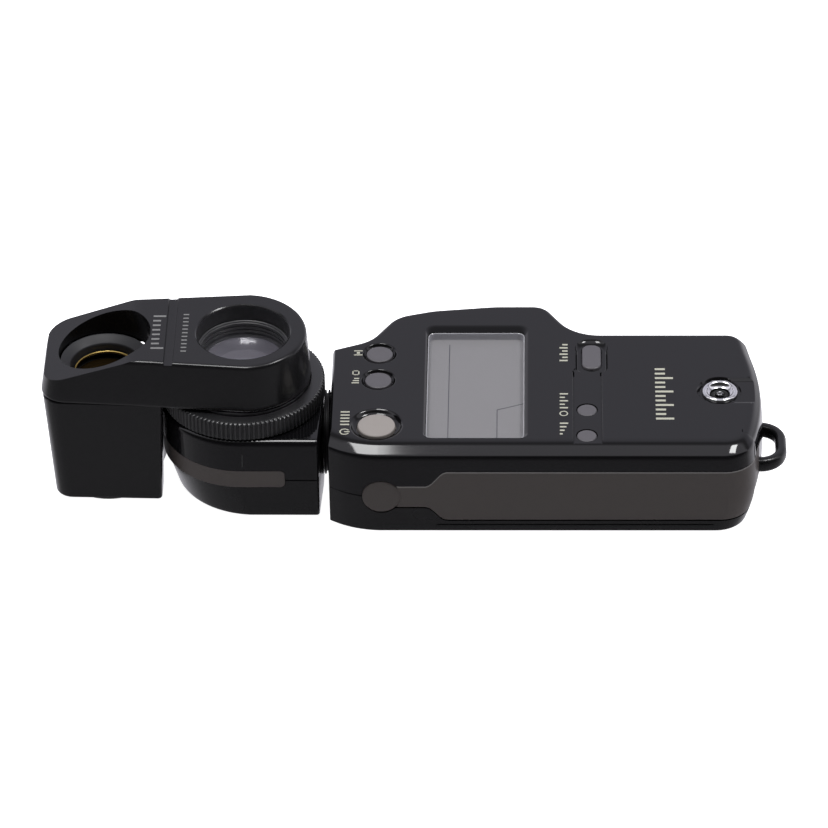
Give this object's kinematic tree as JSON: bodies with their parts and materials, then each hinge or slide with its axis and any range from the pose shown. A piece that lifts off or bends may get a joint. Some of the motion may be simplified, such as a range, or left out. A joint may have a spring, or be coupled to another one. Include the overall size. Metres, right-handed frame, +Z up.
{
  "type": "handheld light meter",
  "caption": "Handheld light meter with a swivelling round head, lift-off spot viewfinder, liquid-crystal display, top keys, side measuring button and strap ring.",
  "frame": {"origin": "centre of the bounding box on the ground, under the middle of the meter as it lies on its back", "axes": "+X from the viewfinder end to the strap ring, +Y from the grip side to the key-bulge side, +Z up through the display"},
  "size_m": [0.189, 0.065, 0.0434],
  "materials": {
    "front_cover": "satin black moulded plastic",
    "rear_cover": "satin black moulded plastic",
    "side_grip": "matt warm grey grip panel",
    "lcd_window": "clear window",
    "lcd_panel": "grey liquid-crystal glass",
    "lcd_holder": "black plastic frame",
    "zebra_connector": "soft connector strip",
    "main_circuit_board": "green solder resist",
    "left_keypad": "moulded rubber domes",
    "right_keypad": "moulded rubber domes",
    "battery_cell": "plain wrapped cell",
    "battery_tray": "black plastic",
    "battery_contact": "plated sheet contact",
    "battery_spring": "plated contact spring",
    "sync_socket_shell": "bright plated ring",
    "sync_socket_insulator": "black insulator",
    "sync_socket_pin": "bright centre contact",
    "strap_ring": "satin black plastic",
    "case_screw_1": "slotted steel screw",
    "case_screw_2": "slotted steel screw",
    "case_screw_3": "slotted steel screw",
    "case_screw_4": "slotted steel screw",
    "rocker_pin": "plain steel pin",
    "neck_bush": "natural nylon bush",
    "power_button": "satin warm grey",
    "average_button": "satin mid grey",
    "memory_button": "satin mid grey",
    "fnumber_button": "satin mid grey",
    "film_speed_button": "satin mid grey",
    "mode_button": "satin mid grey",
    "measuring_button": "satin warm dark grey",
    "updown_rocker": "satin mid grey",
    "battery_cover": "satin black moulded plastic",
    "head_front_shell": "satin black moulded plastic",
    "head_rear_shell": "satin black moulded plastic",
    "head_screw_1": "slotted steel screw",
    "head_screw_2": "slotted steel screw",
    "head_inlay": "matt warm grey inlay",
    "neck_tube": "satin black ribbed tube",
    "neck_retainer": "retaining washer",
    "sensor_lead": "black sleeved lead",
    "mount_seat": "black bayonet seat",
    "correction_filter": "blue-green filter glass",
    "photocell": "silicon cell",
    "photocell_board": "green solder resist",
    "locking_ring": "knurled black ring",
    "finder_upper_cover": "satin black moulded plastic",
    "finder_lower_box": "satin black moulded plastic",
    "finder_base_plate": "black plate",
    "mount_sleeve": "plain metal sleeve",
    "metering_lens_barrel": "black barrel",
    "metering_lens": "coated lens",
    "objective_bezel": "grey-black conical bezel",
    "objective_trim": "thin gilt ring",
    "objective_lens": "coated lens",
    "reticle": "clear reticle disc",
    "erecting_lens": "coated lens",
    "sight_tube": "matt black tube",
    "eyepiece_ring": "soft black ring",
    "eyepiece_lens": "coated lens"
  },
  "bodies": {
    "meter_body": {"front_cover": "front_cover", "rear_cover": "rear_cover", "side_grip": "side_grip", "lcd_window": "lcd_window", "lcd_panel": "lcd_panel", "lcd_holder": "lcd_holder", "zebra_connector": "zebra_connector", "main_circuit_board": "main_circuit_board", "left_keypad": "left_keypad", "right_keypad": "right_keypad", "battery_cell": "battery_cell", "battery_tray": "battery_tray", "battery_contact": "battery_contact", "battery_spring": "battery_spring", "sync_socket_shell": "sync_socket_shell", "sync_socket_insulator": "sync_socket_insulator", "sync_socket_pin": "sync_socket_pin", "strap_ring": "strap_ring", "case_screw_1": "case_screw_1", "case_screw_2": "case_screw_2", "case_screw_3": "case_screw_3", "case_screw_4": "case_screw_4", "rocker_pin": "rocker_pin", "neck_bush": "neck_bush"},
    "power_button": {"power_button": "power_button"},
    "average_button": {"average_button": "average_button"},
    "memory_button": {"memory_button": "memory_button"},
    "fnumber_button": {"fnumber_button": "fnumber_button"},
    "film_speed_button": {"film_speed_button": "film_speed_button"},
    "mode_button": {"mode_button": "mode_button"},
    "measuring_button": {"measuring_button": "measuring_button"},
    "updown_rocker": {"updown_rocker": "updown_rocker"},
    "battery_cover": {"battery_cover": "battery_cover"},
    "receptor_head": {"head_front_shell": "head_front_shell", "head_rear_shell": "head_rear_shell", "head_screw_1": "head_screw_1", "head_screw_2": "head_screw_2", "head_inlay": "head_inlay", "neck_tube": "neck_tube", "neck_retainer": "neck_retainer", "sensor_lead": "sensor_lead", "mount_seat": "mount_seat", "correction_filter": "correction_filter", "photocell": "photocell", "photocell_board": "photocell_board"},
    "locking_ring": {"locking_ring": "locking_ring"},
    "viewfinder": {"finder_upper_cover": "finder_upper_cover", "finder_lower_box": "finder_lower_box", "finder_base_plate": "finder_base_plate", "mount_sleeve": "mount_sleeve", "metering_lens_barrel": "metering_lens_barrel", "metering_lens": "metering_lens", "objective_bezel": "objective_bezel", "objective_trim": "objective_trim", "objective_lens": "objective_lens", "reticle": "reticle", "erecting_lens": "erecting_lens", "sight_tube": "sight_tube", "eyepiece_ring": "eyepiece_ring", "eyepiece_lens": "eyepiece_lens"}
  },
  "joints": [
    {"name": "power_press", "type": "slide", "parent": "meter_body", "child": "power_button", "axis": [0, 0, -1], "range_m": [0, 0.0006], "stiffness_N_per_m": 600},
    {"name": "average_press", "type": "slide", "parent": "meter_body", "child": "average_button", "axis": [0, 0, -1], "range_m": [0, 0.0006], "stiffness_N_per_m": 600},
    {"name": "memory_press", "type": "slide", "parent": "meter_body", "child": "memory_button", "axis": [0, 0, -1], "range_m": [0, 0.0006], "stiffness_N_per_m": 600},
    {"name": "fnumber_press", "type": "slide", "parent": "meter_body", "child": "fnumber_button", "axis": [0, 0, -1], "range_m": [0, 0.0006], "stiffness_N_per_m": 600},
    {"name": "film_speed_press", "type": "slide", "parent": "meter_body", "child": "film_speed_button", "axis": [0, 0, -1], "range_m": [0, 0.0006], "stiffness_N_per_m": 600},
    {"name": "mode_press", "type": "slide", "parent": "meter_body", "child": "mode_button", "axis": [0, 0, -1], "range_m": [0, 0.0006], "stiffness_N_per_m": 600},
    {"name": "measuring_press", "type": "slide", "parent": "meter_body", "child": "measuring_button", "axis": [0, 1, 0], "range_m": [0, 0.0008], "stiffness_N_per_m": 700},
    {"name": "updown_rock", "type": "hinge", "parent": "meter_body", "child": "updown_rocker", "pos_m": [0.0198, 0.0312, 0.0168], "axis": [0, 0, 1], "range_deg": [-4, 4], "stiffness_Nm_per_rad": 0.05},
    {"name": "battery_cover_slide", "type": "slide", "parent": "meter_body", "child": "battery_cover", "axis": [0, -1, 0], "range_m": [0, 0.026]},
    {"name": "head_swivel", "type": "hinge", "parent": "meter_body", "child": "receptor_head", "pos_m": [-0.0236, -0.0063, 0.012], "axis": [1, 0, 0], "range_deg": [-90, 180]},
    {"name": "ring_turn", "type": "hinge", "parent": "receptor_head", "child": "locking_ring", "pos_m": [-0.0438, -0.0063, 0.0268], "axis": [0, 0, 1], "range_deg": [0, 35]},
    {"name": "viewfinder_lift", "type": "slide", "parent": "receptor_head", "child": "viewfinder", "axis": [0, 0, 1], "range_m": [0, 0.01]}
  ]
}
